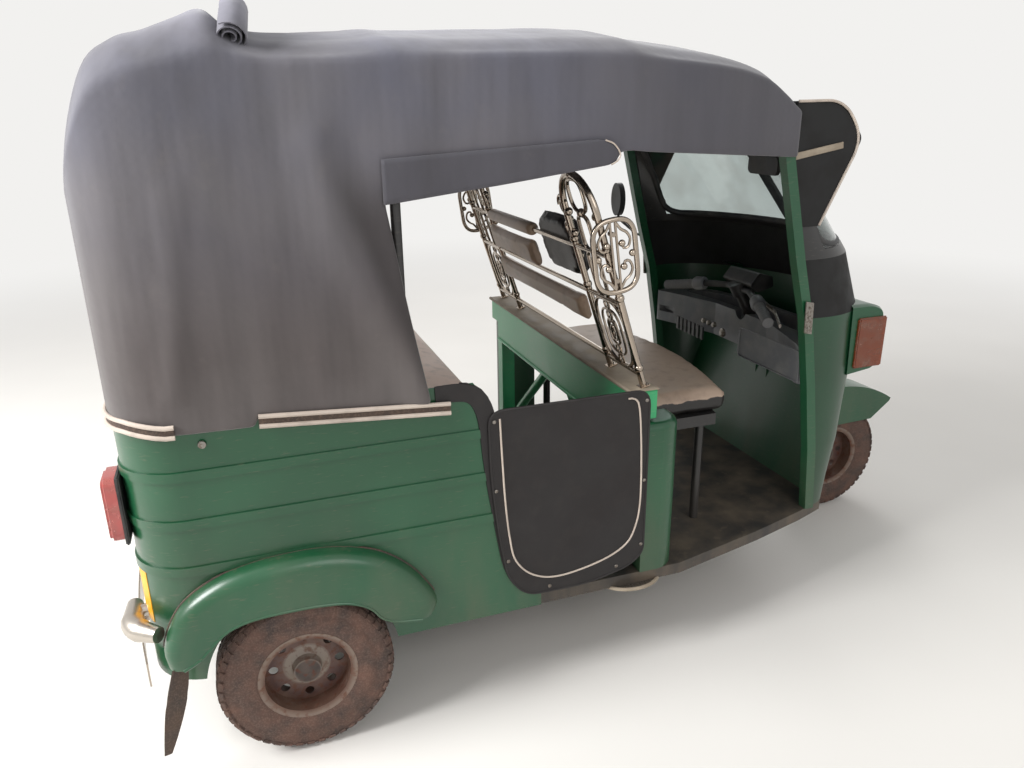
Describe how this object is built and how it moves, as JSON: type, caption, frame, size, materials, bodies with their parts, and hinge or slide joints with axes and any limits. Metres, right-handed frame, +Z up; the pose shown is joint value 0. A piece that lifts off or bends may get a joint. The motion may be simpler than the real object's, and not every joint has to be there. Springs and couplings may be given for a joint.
{
  "type": "auto rickshaw",
  "caption": "Three-wheeled auto rickshaw with a canvas hood over a driver's bench and a rear passenger bench; steering, road wheels and engine lid move.",
  "frame": {"origin": "on the ground under the middle of the overall length and width", "axes": "+X forwards, +Y to the vehicle's left, +Z up"},
  "size_m": [2.635, 1.3, 1.7137],
  "materials": {
    "green_paint": "worn gloss",
    "black_paint": "satin",
    "canvas": "matt",
    "tan_vinyl": "satin",
    "black_vinyl": "satin",
    "brown_vinyl": "satin",
    "chrome": "polished",
    "tyre": "matt",
    "rim_paint": "rusty",
    "glass": "clear",
    "lamp_clear": "clear",
    "lamp_amber": "gloss",
    "lamp_red": "gloss",
    "black_plastic": "grained",
    "steel": "dull",
    "alloy": "cast",
    "flap_rubber": "matt",
    "mirror_back": "satin"
  },
  "bodies": {
    "chassis": {"floor_pan": "black_paint", "rear_body": "green_paint", "rear_fenders": "green_paint", "seat_deck": "green_paint", "passenger_cushion": "tan_vinyl", "passenger_backrest": "tan_vinyl", "driver_cushion": "tan_vinyl", "seat_stand": "black_paint", "side_bulges": "green_paint", "bulkhead": "green_paint", "guard_panel": "black_vinyl", "foot_step": "steel", "partition_frame": "chrome", "partition_pads": "brown_vinyl", "driver_backrest": "black_vinyl", "front_shield": "green_paint", "cowl": "black_paint", "windscreen_frame": "black_paint", "windscreen_glass": "glass", "door_posts": "green_paint", "toe_board": "green_paint", "dash": "black_plastic", "visor": "black_plastic", "canopy": "canvas", "hood_frame": "black_paint", "curtain_roll": "canvas", "headlamp_pods": "green_paint", "headlamps": "lamp_clear", "turn_lamps": "lamp_amber", "tail_lamps": "lamp_red", "rear_bumper": "chrome", "mud_flaps": "flap_rubber", "mirror": "mirror_back", "rear_suspension": "black_paint", "engine": "alloy"},
    "steering": {"steering_column": "black_paint", "handlebar": "black_plastic", "front_fender": "green_paint"},
    "front_road_wheel": {"front_tyre": "tyre", "front_wheel": "rim_paint"},
    "left_road_wheel": {"rear_tyre_left": "tyre", "rear_wheel_left": "rim_paint"},
    "right_road_wheel": {"rear_tyre_right": "tyre", "rear_wheel_right": "rim_paint"},
    "lid": {"engine_lid": "green_paint"}
  },
  "joints": [
    {"name": "steering_turn", "type": "hinge", "parent": "chassis", "child": "steering", "pos_m": [1.15, 0, 0], "axis": [-0.5, 0, 0.866], "range_deg": [-35, 35]},
    {"name": "front_wheel_spin", "type": "hinge", "parent": "steering", "child": "front_road_wheel", "pos_m": [1.08, 0, 0.207], "axis": [0, 1, 0], "continuous": true},
    {"name": "left_wheel_spin", "type": "hinge", "parent": "chassis", "child": "left_road_wheel", "pos_m": [-0.92, 0.575, 0.207], "axis": [0, 1, 0], "continuous": true},
    {"name": "right_wheel_spin", "type": "hinge", "parent": "chassis", "child": "right_road_wheel", "pos_m": [-0.92, -0.575, 0.207], "axis": [0, 1, 0], "continuous": true},
    {"name": "lid_hinge", "type": "hinge", "parent": "chassis", "child": "lid", "pos_m": [-1.269, 0, 0.806], "axis": [0, 1, 0], "range_deg": [0, 75]}
  ]
}
